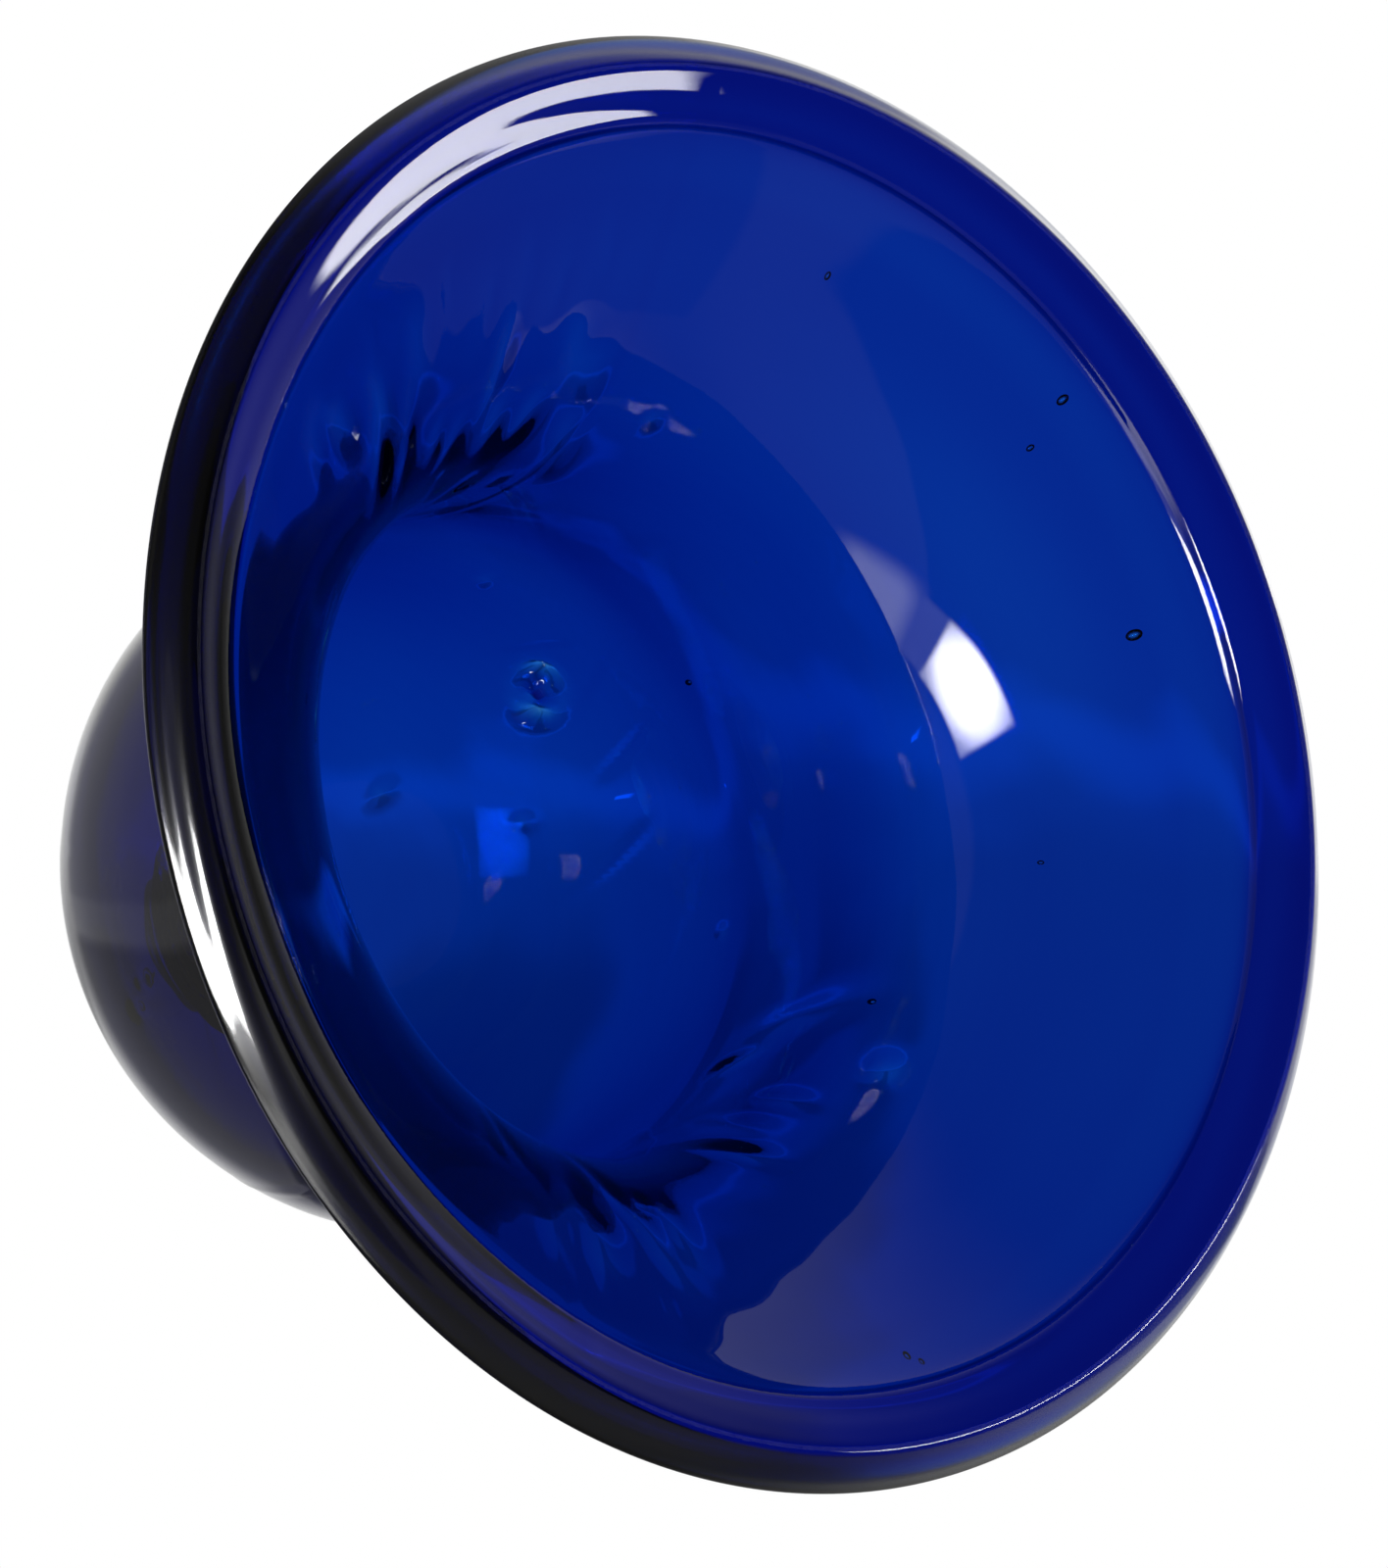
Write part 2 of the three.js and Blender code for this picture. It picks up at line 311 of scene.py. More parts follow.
def add_floor():
    """A pale round floor, which can't be seen from below."""
    turns = 96
    ring = [(FLOOR_R * math.cos(a), FLOOR_R * math.sin(a), 0) for a in
            (math.tau * i / turns for i in range(turns))]
    mesh = bpy.data.meshes.new("floor")
    mesh.from_pydata(ring, [], [list(range(turns))])
    floor = bpy.data.objects.new("floor", mesh)
    bpy.context.scene.collection.objects.link(floor)
    material, tree, place = new_material("pale_floor")
    grain = tree.noise(place, 9.0, 4.0)
    colour = tree.tint(grain, (0.80, 0.80, 0.79, 1), (0.86, 0.86, 0.85, 1))
    top = tree.node("ShaderNodeBsdfPrincipled", {
        "Base Color": colour,
        "Roughness": 0.8,
        "Emission Color": colour,
        "Emission Strength": FLOOR_GLOW,
    })
    clear = tree.node("ShaderNodeBsdfTransparent")
    underside = tree.node("ShaderNodeNewGeometry").outputs["Backfacing"]
    # Light that has come up through the floor once doesn't meet it again.
    passed = tree.node("ShaderNodeLightPath").outputs["Transparent Depth"]
    hidden = tree.math("MAXIMUM", underside, tree.math("GREATER_THAN", passed, 0.5))
    mix = tree.node("ShaderNodeMixShader", {0: hidden, 1: top.outputs[0], 2: clear.outputs[0]})
    output = tree.node("ShaderNodeOutputMaterial")
    tree.give(output.inputs["Surface"], mix.outputs[0])
    mesh.materials.append(material)


def set_look():
    scene = bpy.context.scene
    scene.view_settings.view_transform = "Standard"
    scene.cycles.max_bounces = 14
    scene.cycles.transmission_bounces = 14
    scene.cycles.glossy_bounces = 8
    scene.cycles.diffuse_bounces = 3
    scene.cycles.transparent_max_bounces = 16
    scene.cycles.sample_clamp_indirect = 12
    scene.cycles.blur_glossy = 0


# ---- materials of the bell --------------------------------------------------------------------

GLASS_IOR = 1.52
GLASS_TINT = (0.0, 0.525, 0.855, 1)
GLASS_DENSITY = 2200.0  # at which the volume takes away what the tint lacks
BRASS = (0.62, 0.44, 0.17, 1)
AGED_BRASS = (0.33, 0.21, 0.08, 1)
WORN_BRASS = (0.86, 0.66, 0.31, 1)
BRASS_IN_HOLLOWS = (0.09, 0.055, 0.025, 1)
TURNING_PITCH = 0.22 * MM
RUBBER = (0.022, 0.022, 0.023, 1)
DUSTY_RUBBER = (0.06, 0.058, 0.054, 1)


def cobalt_glass():
    """Clear glass whose colour is in its depth, with a surface that is a little uneven."""
    material, tree, place = new_material("cobalt_glass")
    swell = tree.noise(place, 45.0, 2.0, 0.4)
    film = tree.noise(place, 120.0, 4.0, 0.6, 0.4)
    height = tree.node("ShaderNodeSeparateXYZ", {0: place}).outputs[2]
    # The bevel was ground and polished again, which left it a little dull under the gloss.
    ground = tree.math("MULTIPLY", tree.ramp(tree.from_axis(place), FOOT[1], FOOT[1] + 0.4 * MM),
                       tree.ramp(height, EDGE_Z[0] - 0.5 * MM, EDGE_Z[1], 1.0, 0.0))
    polished = tree.ramp(film, 0.45, 0.8, 0.0, 0.03)
    surface = tree.node("ShaderNodeBsdfPrincipled", {
        "Base Color": (1, 1, 1, 1),
        "Roughness": tree.blend(ground, polished, 0.22),
        "IOR": GLASS_IOR,
        "Transmission Weight": 1.0,
        "Coat Weight": ground,
        "Coat Roughness": 0.02,
        "Coat IOR": 1.5,
        "Normal": tree.bump(swell, 0.25 * MM, 0.5),
    })
    volume = tree.node("ShaderNodeVolumeAbsorption", {
        "Color": GLASS_TINT,
        "Density": GLASS_DENSITY,
    })
    output = tree.node("ShaderNodeOutputMaterial")
    tree.give(output.inputs["Surface"], surface.outputs[0])
    tree.give(output.inputs["Volume"], volume.outputs[0])
    return material


def aged_brass(name, marks="none"):
    """Brass with brown patches, darker in its hollows, and fine scratches or turning marks."""
    material, tree, place = new_material(name)
    patches = tree.noise(place, 260.0, 5.0, 0.62)
    fine = tree.noise(place, 1500.0, 4.0, 0.6)
    pointed = tree.node("ShaderNodeNewGeometry").outputs["Pointiness"]
    worn = tree.ramp(pointed, 0.5, 0.58)
    hollow = tree.ramp(pointed, 0.5, 0.42)
    aged = tree.ramp(patches, 0.42, 0.68)
    colour = tree.tint(aged, BRASS, AGED_BRASS)
    colour = tree.tint(tree.math("MULTIPLY", hollow, 0.8), colour, BRASS_IN_HOLLOWS)
    colour = tree.tint(tree.math("MULTIPLY", worn, 0.7), colour, WORN_BRASS)
    dull = tree.ramp(patches, 0.35, 0.7, 0.24, 0.46)
    roughness = tree.math("ADD", dull, tree.math("MULTIPLY", fine, 0.1))
    if marks == "turned":
        turns = tree.math("MULTIPLY", tree.from_axis(place), math.tau / TURNING_PITCH)
        grooves = tree.math("SINE", turns)
        height = tree.math("ADD", tree.math("MULTIPLY", grooves, 0.3), fine)
    else:
        height = tree.math("ADD", fine, tree.math("MULTIPLY", patches, 0.6))
    surface = tree.node("ShaderNodeBsdfPrincipled", {
        "Base Color": colour,
        "Metallic": 1.0,
        "Roughness": roughness,
        "Normal": tree.bump(height, 0.02 * MM, 0.7),
    })
    output = tree.node("ShaderNodeOutputMaterial")
    tree.give(output.inputs["Surface"], surface.outputs[0])
    return material


def black_rubber():
    """Matt rubber with some dust on it."""
    material, tree, place = new_material("black_rubber")
    grain = tree.noise(place, 2600.0, 4.0, 0.65)
    dust = tree.noise(place, 300.0, 5.0, 0.6)
    colour = tree.tint(tree.ramp(dust, 0.5, 0.75), RUBBER, DUSTY_RUBBER)
    surface = tree.node("ShaderNodeBsdfPrincipled", {
        "Base Color": colour,
        "Roughness": tree.ramp(dust, 0.3, 0.8, 0.6, 0.9),
        "Normal": tree.bump(grain, 0.03 * MM, 0.6),
    })
    output = tree.node("ShaderNodeOutputMaterial")
    tree.give(output.inputs["Surface"], surface.outputs[0])
    return material


# ---- shapes -----------------------------------------------------------------------------------


def arc(centre, size, start, end, steps):
    """Points of an elliptical arc as (radius, height). Angles are in degrees outwards from straight up."""
    angle = np.radians(np.linspace(start, end, steps + 1))
    return np.stack([centre[0] + size[0] * np.sin(angle), centre[1] + size[1] * np.cos(angle)], 1)


def pole_angle(radius, distance):
    """Degrees from a sphere's pole at which its surface is this far from the axis."""
    return math.degrees(math.asin(distance / radius))


def dome(radius, from_r, to_r, steps=16):
    """Part of a sphere about the crown's centre, between two distances from the axis."""
    start, end = pole_angle(radius, from_r), pole_angle(radius, to_r)
    return arc((0, CROWN_Z), (radius, radius), start, end, steps)


def rounded(outline, radius, steps=4):
    """The closed outline with each of its corners rounded off."""
    count = len(outline)
    made = []
    for i in range(count):
        before, here, after = (np.array(outline[(i + k) % count], float) for k in (-1, 0, 1))
        reach = min(radius, 0.45 * np.linalg.norm(before - here), 0.45 * np.linalg.norm(after - here))
        start = here + (before - here) / np.linalg.norm(before - here) * reach
        end = here + (after - here) / np.linalg.norm(after - here) * reach
        for t in np.linspace(0, 1, steps + 1):
            made.append((1 - t) ** 2 * start + 2 * t * (1 - t) * here + t ** 2 * end)
    return np.array(made)


def grid_faces(rows, columns, wrap_rows=True):
    """Quads of a grid that closes on itself along its columns, and along its rows if asked."""
    r = np.arange(rows if wrap_rows else rows - 1)
    c = np.arange(columns)
    r, c = np.meshgrid(r, c, indexing="ij")
    r2, c2 = (r + 1) % rows, (c + 1) % columns
    corners = [r * columns + c, r * columns + c2, r2 * columns + c2, r2 * columns + c]
    return np.stack(corners, -1).reshape(-1, 4)


def turned(outline, turns=96):
    """Vertices and faces of a closed outline of (radius, height) points turned about the Z axis."""
    angle = np.linspace(0, math.tau, turns, endpoint=False)
    radius, height = outline[:, :1], outline[:, 1:]
    grid = np.stack([radius * np.cos(angle), radius * np.sin(angle), height + 0 * angle], -1)
    return grid.reshape(-1, 3), grid_faces(len(outline), turns)


def capped(rings):
    """Vertices and faces of a row of rings, closed with a face at each end."""
    count, turns = rings.shape[:2]
    first, last = list(range(turns)), list(range((count - 1) * turns, count * turns))
    sides = grid_faces(count, turns, wrap_rows=False).tolist()
    return rings.reshape(-1, 3), sides + [first[::-1], last]


def wire_ring(radius, wire, turns=160, wire_turns=32):
    """A ring of wire in the XZ plane. Its wire may be given one radius for each turn."""
    turn = np.linspace(0, math.tau, turns, endpoint=False)[:, None]
    round_wire = np.linspace(0, math.tau, wire_turns, endpoint=False)
    wire = np.broadcast_to(np.reshape(wire, (-1, 1)), (turns, 1))
    out = radius + wire * np.cos(round_wire)
    points = np.stack([out * np.cos(turn), wire * np.sin(round_wire), out * np.sin(turn)], -1)
    return points.reshape(-1, 3), grid_faces(turns, wire_turns)


def add_piece(name, parts, material, node, body="bell", crease=40):
    """A mesh piece that stands for a CAD node. parts are (vertices, faces) pairs of closed bodies."""
    vertices, faces, start = [], [], 0
    for points, quads in parts:
        vertices.append(points)
        faces += [[corner + start for corner in face] for face in quads]
        start += len(points)
    mesh = bpy.data.meshes.new(name)
    mesh.from_pydata(np.concatenate(vertices).tolist(), [], faces)
    mesh.shade_smooth()
    mesh.set_sharp_from_angle(angle=math.radians(crease))
    mesh.materials.append(material)
    piece = bpy.data.objects.new(name, mesh)
    bpy.context.scene.collection.objects.link(piece)
    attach(piece, body)
    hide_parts(node)


# ---- the glass --------------------------------------------------------------------------------

SEED = 11
SHELL_TURNS = 396
SKIRT_STEPS = 54
CROWN_STEPS = 56  # inside; the plainer outside has fewer
ROOT_REACH = 3.4 * MM  # how far the hollow between skirt and flange reaches from its corner


def skirt_curve():
    """The skirt's inner surface from the step to the waist, as points and directions."""
    end = math.radians(CROWN_END)
    inner_r = CROWN_R - WALL
    start = np.array(STEP)
    waist = np.array([inner_r * math.sin(end), CROWN_Z + inner_r * math.cos(end)])
    span = np.linalg.norm(waist - start)
    lean = math.radians(SKIRT_LEAN)
    leave = start + np.array([-math.sin(lean), math.cos(lean)]) * span * SKIRT_PULL[0]
    arrive = waist - np.array([-math.cos(end), math.sin(end)]) * span * SKIRT_PULL[1]
    t = np.linspace(0, 1, SKIRT_STEPS + 1)[:, None]
    s = 1 - t
    points = s ** 3 * start + 3 * s ** 2 * t * leave + 3 * s * t ** 2 * arrive + t ** 3 * waist
    along = 3 * s ** 2 * (leave - start) + 6 * s * t * (arrive - leave) + 3 * t ** 2 * (waist - arrive)
    return points, along / np.linalg.norm(along, axis=1, keepdims=True)


def bend(start, corner, end, steps):
    """A curve from start to end that leaves and arrives in the directions of the corner."""
    start, corner, end = (np.array(p) for p in (start, corner, end))
    t = np.linspace(0, 1, steps + 1)[:, None]
    return (1 - t) ** 2 * start + 2 * t * (1 - t) * corner + t ** 2 * end


def towards(start, end, distance):
    """The point at a distance from start on the way to end."""
    start, end = np.array(start), np.array(end)
    return start + (end - start) / np.linalg.norm(end - start) * distance


def flange_outline(last_outside, first_inside):
    """The flange, from the last point of the outer skirt round to the first of the inner one."""
    back_corner = (RIM_R, BACK_CORNER_Z)
    top = np.linspace(towards(FLANGE_ROOT, back_corner, ROOT_REACH),
                      towards(back_corner, FLANGE_ROOT, BACK_ROUNDING), 6)
    hollow = bend(last_outside, FLANGE_ROOT, top[0], 10)[1:-1]
    back = bend(top[-1], back_corner, (RIM_R, EDGE_Z[1]), 9)[1:]
    edge = bend(back[-1], (RIM_R, EDGE_Z[0]), BEVEL_END, 6)[1:-1]
    foot = np.array([FOOT[1], 0])
    bevel = bend(BEVEL_END, BEVEL_CORNER, foot, 12)
    # The foot's outer corner is a little rounded, and its inner one runs into the face up to the step.
    tip = bend(bevel[-2], foot, foot - np.array([0.25 * MM, 0]), 4)[1:]
    face_start = towards((FOOT[0], 0), STEP_LIP, 0.9 * MM)
    heel = bend((FOOT[0] + 0.35 * MM, 0), (FOOT[0], 0), face_start, 5)
    before_lip = towards(STEP_LIP, (FOOT[0], 0), 0.75 * MM)
    after_lip = towards(STEP_LIP, STEP, 0.6 * MM)
    face = np.linspace(heel[-1], before_lip, 8)[1:-1]
    lip = bend(before_lip, STEP_LIP, after_lip, 7)
    before_step = towards(STEP, STEP_LIP, 0.45 * MM)
    inner_line = bend(before_step, STEP, first_inside, 5)[:-1]
    return np.concatenate([hollow, top, back, edge, bevel[:-1], tip, heel, face, lip, inner_line])


def shell_outline():
    """Outline of the glass, up the inside and down the outside, and the number of points inside."""
    inside, along = skirt_curve()
    outside = inside + np.stack([along[:, 1], -along[:, 0]], 1) * WALL
    outside = outside[outside[:, 1] > FLANGE_ROOT[1] + ROOT_REACH][::-2]
    inner_r = CROWN_R - WALL
    centre = (0, CROWN_Z)
    crown_in = arc(centre, (inner_r, inner_r), CROWN_END, pole_angle(inner_r, HOLE_R), CROWN_STEPS)
    hole_angle = pole_angle(CROWN_R, HOLE_R)
    crown_out = arc(centre, (CROWN_R, CROWN_R), hole_angle, CROWN_END, CROWN_STEPS // 2)
    hole = np.linspace(crown_in[-1], crown_out[0], 6)[1:-1]
    inside_part = np.concatenate([inside[1:], crown_in[1:]])
    flange = flange_outline(outside[-1], inside_part[0])
    outside_part = np.concatenate([hole, crown_out, outside[1:], flange])
    return np.concatenate([inside_part, outside_part]), len(inside_part)


def outline_normals(outline):
    """Directions that point out of the glass."""
    along = np.roll(outline, -1, 0) - np.roll(outline, 1, 0)
    normal = np.stack([-along[:, 1], along[:, 0]], 1)
    return normal / np.linalg.norm(normal, axis=1, keepdims=True)


# Marks of the glassmaker's work on the inner surface, as degrees round the axis and height above the
# mouth in millimetres. CHILL_MARKS and FAINT_MARKS are strokes round the neck.
CHILL_MARKS = (
    (-43, 9), (-40, 9), (-36, 12), (-33, 16), (-30, 14), (-26, 19), (-22, 13), (-19, 21), (-16, 24),
    (-13, 30), (-9, 17), (-6, 26), (-3, 36), (1, 25), (5, 19), (9, 21), (13, 32),
)
FAINT_MARKS = (
    (-156, 17), (-150, 14), (-146, 22), (-142, 12), (-138, 17), (-135, 12), (-129, 20), (-124, 15),
    (179, 30), (170, 38), (162, 33), (148, 46), (140, 40),
)
FINE_MARKS = ((-17, 9), (-11, 12), (-5, 10), (0, 13), (6, 10), (-30, 8), (-148, 9), (-140, 9))
PITS = (  # with their widths in millimetres
    (24, 25, 0.9), (6, 37, 0.8), (151, 25, 1.7), (-152, 20, 1.0), (64, 94, 0.9), (88, 85, 0.8),
    (118, 60, 0.8), (-70, 46, 0.9), (-98, 70, 1.0), (-94, 66, 0.8), (40, 70, 0.8),
)
SEEDS = (  # with their diameters in millimetres
    (90, 8.5, 1.5), (36, 9.3, 0.8), (138, 31, 0.9), (65, 5.5, 1.2), (67, 9, 0.8), (-175, 5.6, 0.9),
    (-176, 4.4, 0.7), (74, 55, 0.9), (-98, 4.6, 0.8), (-48, 27, 0.7), (12, 52, 0.6), (-120, 33, 0.8),
    (200, 66, 0.7), (-20, 80, 0.8), (115, 17, 0.6),
)
THREADS = ((57, 73), (68, 70), (81, 69), (100, 76))
SHEAR_MARK = (65, 77)
SHEAR_R = 3.0 * MM
SHEAR_DEPTH = 1.9 * MM
SEAMS = (15, 224)  # degrees round the axis

# Least and greatest width, length and depth of the strokes, in millimetres.
CHILL_STROKE = ((1.0, 2.1), (3.0, 6.5), (0.20, 0.46))
FAINT_STROKE = ((1.2, 2.4), (4.0, 8.0), (0.16, 0.34))


def smooth_step(x):
    """0 below 0 and 1 above 1, with a smooth change between."""
    x = np.clip(x, 0, 1)
    return x * x * (3 - 2 * x)


def turn_between(angle, degrees):
    """Signed angle from a direction, in radians."""
    return (angle - math.radians(degrees) + math.pi) % math.tau - math.pi


class Surface:
    """One side of the glass: where its points are, for marks to be pressed into it."""

    def __init__(self, outline, angle):
        steps = np.linalg.norm(np.diff(outline, axis=0), axis=1)
        self.outline = outline
        self.along = np.concatenate([[0], np.cumsum(steps)])[:, None]
        self.radius = outline[:, :1]
        self.height = outline[:, 1:]
        self.angle = angle[None, :]

    def near(self, degrees, height):
        """Distances round and along the surface from a point on it."""
        row = np.argmin(abs(self.outline[:, 1] - height * MM))
        return turn_between(self.angle, degrees) * self.radius[row], self.along - self.along[row]

    def swell(self, rng, wave, turns, count, depth):
        """Smooth unevenness: waves of about the given length along, and up to so many round."""
        total = 0
        for _ in range(count):
            phase = rng.uniform(0, math.tau)
            stretch = math.tau / (wave * rng.uniform(0.7, 2.0))
            twist = rng.integers(-turns, turns + 1)
            total = total + np.cos(twist * self.angle + stretch * self.along + phase)
        return total * depth / math.sqrt(count)

    def stroke(self, degrees, height, width, length, depth, lean=0.0):
        """A groove along the outline, which leans to one side."""
        around, along = self.near(degrees, height)
        around = around - lean * along
        return -depth * np.exp(-(around / width) ** 2 - np.abs(along / length) ** 3)

    def scar(self, degrees, height, radius, depth):
        """A round scar: a sunken ring, deeper on two sides, about a small hump."""
        around, along = self.near(degrees, height)
        out = np.hypot(around, along)
        facing = np.arctan2(along, around)
        ring = np.exp(-((out - radius) / (0.3 * radius)) ** 2)
        ring = ring * (0.12 + 0.88 * np.cos(facing - 0.8) ** 4)
        hump = np.exp(-(out / (0.4 * radius)) ** 2) * np.cos(2 * facing)
        return -depth * ring + 0.5 * depth * hump


def inside_marks(surface, rng):
    """How far the inner surface stands out from its even shape."""
    marks = surface.swell(rng, 26 * MM, 5, 14, 0.05 * MM)
    marks = marks + surface.swell(rng, 9 * MM, 14, 16, 0.007 * MM)
    for places, stroke in ((CHILL_MARKS, CHILL_STROKE), (FAINT_MARKS, FAINT_STROKE)):
        for degrees, height in places:
            degrees, height = degrees + rng.uniform(-1, 1), height + rng.uniform(-1, 1)
            width, length, depth = (rng.uniform(least, most) * MM for least, most in stroke)
            lean = rng.uniform(-0.35, 0.35)
            marks = marks + surface.stroke(degrees, height, width, length, depth, lean)
    for degrees, height in FINE_MARKS:
        lean = rng.uniform(-0.3, 0.3)
        marks = marks + surface.stroke(degrees, height, 0.5 * MM, 3.2 * MM, 0.09 * MM, lean)
    for degrees, height, width in PITS:
        marks = marks + surface.stroke(degrees, height, width * MM, 1.1 * width * MM, 0.34 * width * MM)
    for degrees, height in THREADS:
        lean = rng.uniform(-0.6, 0.6)
        marks = marks + surface.stroke(degrees, height, 0.5 * MM, 4.5 * MM, -0.10 * MM, lean)
    marks = marks + surface.scar(*SHEAR_MARK, SHEAR_R, SHEAR_DEPTH)
    # Fine ripples where the skirt leaves the step.
    ripples = np.cos(64 * surface.angle + 300 * surface.along)
    ripples = ripples * np.exp(-((surface.height - 13 * MM) / (4 * MM)) ** 2)
    ripples = ripples * np.exp(-(turn_between(surface.angle, -6) / 0.3) ** 2)
    return marks + ripples * 0.022 * MM


def outside_marks(surface, rng):
    """The same for the outer surface and the flange, whose foot stays flat."""
    on_flange = smooth_step((9 * MM - surface.height) / (3 * MM))
    marks = surface.swell(rng, 24 * MM, 5, 14, 0.06 * MM) * (1 - on_flange)
    ripple = surface.swell(rng, 4.5 * MM, 9, 14, 0.09 * MM)
    slow = surface.swell(rng, 30 * MM, 4, 8, 0.06 * MM)
    # Two parts of the flange are rougher than the rest.
    busy = 0.5 + 1.3 * np.exp(-(turn_between(surface.angle, 283) / 0.5) ** 2)
    busy = busy + 0.7 * np.exp(-(turn_between(surface.angle, 8) / 0.5) ** 2)
    marks = marks + (ripple * busy + slow) * on_flange
    for degrees in SEAMS:
        off = turn_between(surface.angle, degrees) * surface.radius
        marks = marks + 0.10 * MM * np.exp(-(off / (0.45 * MM)) ** 2)
    flat = smooth_step((surface.height - 0.05 * MM) / (0.9 * MM))
    widest = smooth_step((RIM_R - surface.radius - 0.1 * MM) / (1.2 * MM))
    return marks * flat * widest


def seed_bubbles(surface):
    """Closed hollows inside the glass, drawn out a little along the blowing."""
    parts = []
    turn = np.linspace(0, math.tau, 16, endpoint=False)
    for degrees, height, size in SEEDS:
        row = max(1, np.argmin(abs(surface.outline[:, 1] - height * MM)))
        normal = outline_normals(surface.outline[row - 1:row + 2])[1]
        centre = surface.outline[row] - normal * 0.5 * WALL
        tilt = np.radians(np.linspace(4, 176, 12))[:, None]
        out = np.sin(tilt)
        ball = np.stack([out * np.cos(turn), out * np.sin(turn), np.cos(tilt) + 0 * turn], -1)
        ball = ball * (size * MM / 2) * np.array([0.85, 0.85, 1.3])
        side = Vector((-normal[1], 0, normal[0]))
        lean = np.array(side.to_track_quat("Z", "Y").to_matrix())
        spin = np.array(Matrix.Rotation(math.radians(degrees), 3, "Z"))
        parts.append(capped((ball @ lean.T + np.array([centre[0], 0, centre[1]])) @ spin.T))
    return parts


def add_bell():
    """The glass in one piece, with its marks pressed into it and its seeds inside it."""
    rng = np.random.default_rng(SEED)
    outline, inner_count = shell_outline()
    normal = outline_normals(outline)
    angle = np.linspace(0, math.tau, SHELL_TURNS, endpoint=False)
    inside = Surface(outline[:inner_count], angle)
    outside = Surface(outline[inner_count:], angle)
    inner_push = inside_marks(inside, rng)
    outer_push = outside_marks(outside, rng)
    # Both sides keep still at the crown hole and at the step, where they meet.
    inner_push *= smooth_step((inside.radius - HOLE_R) / (2 * MM))
    inner_push *= smooth_step(inside.along / (3 * MM))
    outer_push *= smooth_step((outside.radius - HOLE_R) / (9 * MM))
    outer_push *= smooth_step((outside.along[-1] - outside.along) / (1 * MM))
    push = np.concatenate([inner_push, outer_push])
    radius = outline[:, :1] + normal[:, :1] * push
    height = outline[:, 1:] + normal[:, 1:] * push
    points = np.stack([radius * np.cos(angle), radius * np.sin(angle), height], -1)
    shell = (points.reshape(-1, 3), grid_faces(len(outline), SHELL_TURNS)[:, ::-1])
    add_piece("bell_glass", [shell, *seed_bubbles(inside)], cobalt_glass(), "bell_shell", crease=60)


# ---- the crown fitting ------------------------------------------------------------------------


def heights(node):
    """The bottom and the top of a CAD node."""
    low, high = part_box(node)
    return low.z, high.z


def box_outline(inner, outer, low, high):
    return [(inner, low), (outer, low), (outer, high), (inner, high)]


def dished_outline(under, thickness, inner, outer):
    """A ring that follows the crown, whose underside is `under` from the crown's centre."""
    return np.concatenate([dome(under, inner, outer, 24), dome(under + thickness, outer, inner, 24)])


def add_bolt(brass):
    """The threaded shank with its collar, and the eye, whose foot is brazed to the collar."""
    turns = 72
    bottom, top = heights("hanger_bolt")
    collar_top = top - 2 * (EYE_R + EYE_WIRE_R) + EYE_SUNK
    collar_z = collar_top - COLLAR_T
    angle = np.linspace(0, math.tau, turns, endpoint=False)
    height = np.arange(bottom, bottom + THREAD_LENGTH, THREAD_PITCH / 12)[:, None]
    phase = (height / THREAD_PITCH - angle / math.tau) % 1
    groove = np.clip((np.abs(2 * phase - 1) - 0.15) / 0.7, 0, 1)
    run_out = np.clip((bottom + THREAD_LENGTH - height) / THREAD_PITCH, 0, 1)
    thread = BOLT_R - THREAD_DEPTH * groove * run_out
    tip = BOLT_R - CHAMFER + (height - bottom)
    shank_r = np.minimum(thread, tip)
    rim = COLLAR_R - COLLAR_ROUNDING
    corner = (COLLAR_ROUNDING, COLLAR_ROUNDING)
    collar = np.concatenate([
        [(BOLT_R, collar_z - 0.05 * MM)],
        arc((rim, collar_z + COLLAR_ROUNDING), corner, 180, 90, 5),
        arc((rim, collar_top - COLLAR_ROUNDING), corner, 90, 0, 5),
        np.stack([np.linspace(rim - 0.1 * MM, 0.1 * MM, 16), np.full(16, collar_top)], 1),
    ])
    radius = np.concatenate([shank_r, collar[:, :1] + 0 * angle])
    level = np.concatenate([height, collar[:, 1:]]) + 0 * angle
    x, y = radius * np.cos(angle), radius * np.sin(angle)
    braze = 1.0 * MM * np.exp(-(x / (1.5 * MM)) ** 2 - (y / (3.2 * MM)) ** 4)
    level = level + braze * (level >= collar_top - 1e-9)
    shank = capped(np.stack([x, y, level], -1))
    points, faces = wire_ring(EYE_R, EYE_WIRE_R, 96, 28)
    upright = np.stack([-points[:, 1], points[:, 0], points[:, 2] + top - EYE_R - EYE_WIRE_R], 1)
    add_piece("eye_bolt", [shank, (upright, faces)], brass, "hanger_bolt", crease=35)


def ridge(outline, place, half_width, height):
    """Height of a round-topped ridge in a turned piece, at each point of its outline."""
    return height * np.exp(-((outline[:, 0] - place) / half_width) ** 2)


def add_cap(brass):
    """A spun disc, sunk between its middle and its rolled edge, with a shallow ring pressed into it."""
    under = CROWN_R + GAP + GASKET_T + GAP
    outline = dished_outline(under, CAP_T, BOLT_R + GAP, CAP_R)
    outline = rounded(outline, 0.42 * MM, 3)
    from_centre = np.hypot(outline[:, 0], outline[:, 1] - CROWN_Z)
    upper = from_centre > under + 0.6 * CAP_T
    pan = -CAP_SINK * smooth_step((outline[:, 0] - COLLAR_R) / (0.9 * MM))
    lift = (pan + ridge(outline, *CAP_ROLL) + ridge(outline, *CAP_GROOVE)) * upper
    outward = np.stack([outline[:, 0], outline[:, 1] - CROWN_Z], 1) / from_centre[:, None]
    outline = outline + lift[:, None] * outward
    add_piece("spun_cap", [turned(outline, 128)], brass, "crown_cap", crease=35)


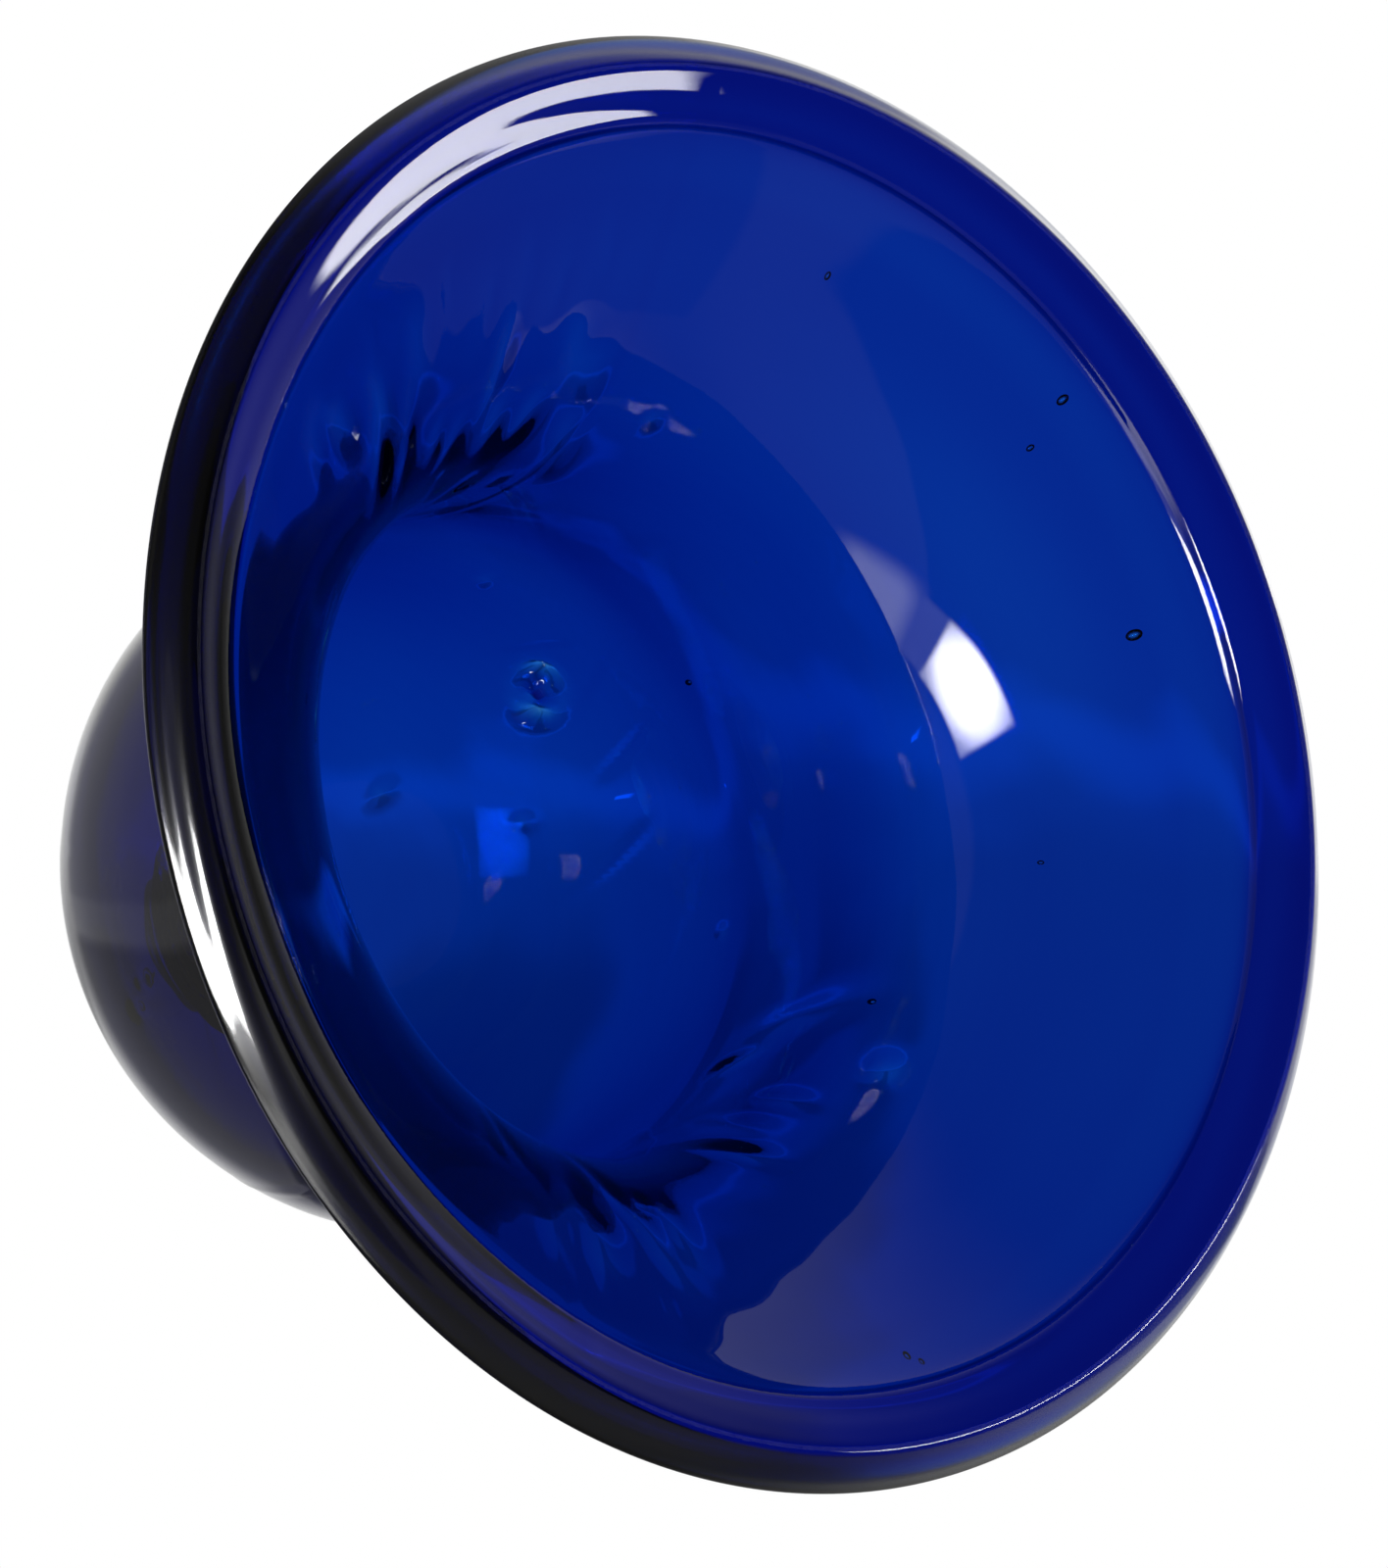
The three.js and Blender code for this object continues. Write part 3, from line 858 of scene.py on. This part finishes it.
def add_gaskets(rubber):
    """The gasket under the cap, with its sleeve, and the one inside the crown."""
    bottom, _ = heights("outer_gasket")
    under = CROWN_R + GAP
    outline = np.concatenate([
        [(BOLT_R + GAP, bottom), (SLEEVE_R, bottom)],
        dome(under, SLEEVE_R, GASKET_R, 14),
        dome(under + GASKET_T, GASKET_R, BOLT_R + GAP, 20),
    ])
    add_piece("cap_gasket", [turned(rounded(outline, 0.3 * MM, 3))], rubber, "outer_gasket", crease=50)
    bottom, _ = heights("inner_gasket")
    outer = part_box("inner_gasket")[1].x
    outline = np.concatenate([
        [(BOLT_R + GAP, bottom), (outer, bottom)],
        dome(CROWN_R - WALL - GAP, outer, BOLT_R + GAP, 16),
    ])
    outline = rounded(outline, 0.25 * MM, 3)
    add_piece("washer_gasket", [turned(outline)], rubber, "inner_gasket", crease=50)


def add_washer(brass):
    bottom, top = heights("inner_washer")
    outline = box_outline(BOLT_R + GAP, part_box("inner_washer")[1].x, bottom, top)
    add_piece("flat_washer", [turned(rounded(outline, 0.25 * MM))], brass, "inner_washer", crease=50)


def add_nut(name, node, brass):
    """A hexagon nut whose corners are cut by a cone at both ends, and whose bore is countersunk."""
    turns = 144
    bottom, top = heights(node)
    angle = np.linspace(0, math.tau, turns, endpoint=False)
    corner = (angle - math.pi / 2) % (math.pi / 3) - math.pi / 6
    hexagon = NUT_FLATS / 2 / np.cos(corner)
    bore, sink, face = BOLT_R + GAP, 0.35 * MM, 0.47 * NUT_FLATS
    level = np.linspace(bottom, top, 26)[:, None]
    cone = face + 1.73 * np.minimum(level - bottom, top - level)
    side = (hexagon ** -60.0 + cone ** -60.0) ** (-1 / 60)
    mouth, hole = np.full((1, turns), bore + sink), np.full((1, turns), bore)
    radius = np.concatenate([mouth, side, mouth, hole, hole])
    height = np.concatenate([[bottom], level[:, 0], [top], [top - sink], [bottom + sink]])
    height = height[:, None] + 0 * angle
    points = np.stack([radius * np.cos(angle), radius * np.sin(angle), height], -1)
    add_piece(name, [(points.reshape(-1, 3), grid_faces(len(radius), turns))], brass, node, crease=30)


def add_hanging_ring(brass):
    """A ring bent from wire, whose ends are brazed together on one side."""
    turns = 200
    low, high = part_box("hanging_ring")
    turn = np.linspace(0, math.tau, turns, endpoint=False)
    off = turn_between(turn, 152)
    wire = RING_WIRE_R * (1 + 0.10 * np.exp(-(off / 0.09) ** 2) - 0.09 * np.exp(-(off / 0.03) ** 2))
    points, faces = wire_ring(RING_R, wire, turns)
    points = points + np.array([0, 0, (low.z + high.z) / 2])
    add_piece("swing_ring", [(points, faces)], brass, "hanging_ring", body="ring")


add_camera()
add_world()
add_floor()
set_look()
add_bell()

plain_brass = aged_brass("aged_brass")
turned_brass = aged_brass("turned_brass", "turned")
rubber = black_rubber()
add_bolt(plain_brass)
add_cap(turned_brass)
add_gaskets(rubber)
add_washer(turned_brass)
add_nut("clamp_hex_nut", "clamp_nut", plain_brass)
add_nut("lock_hex_nut", "lock_nut", plain_brass)
add_hanging_ring(plain_brass)
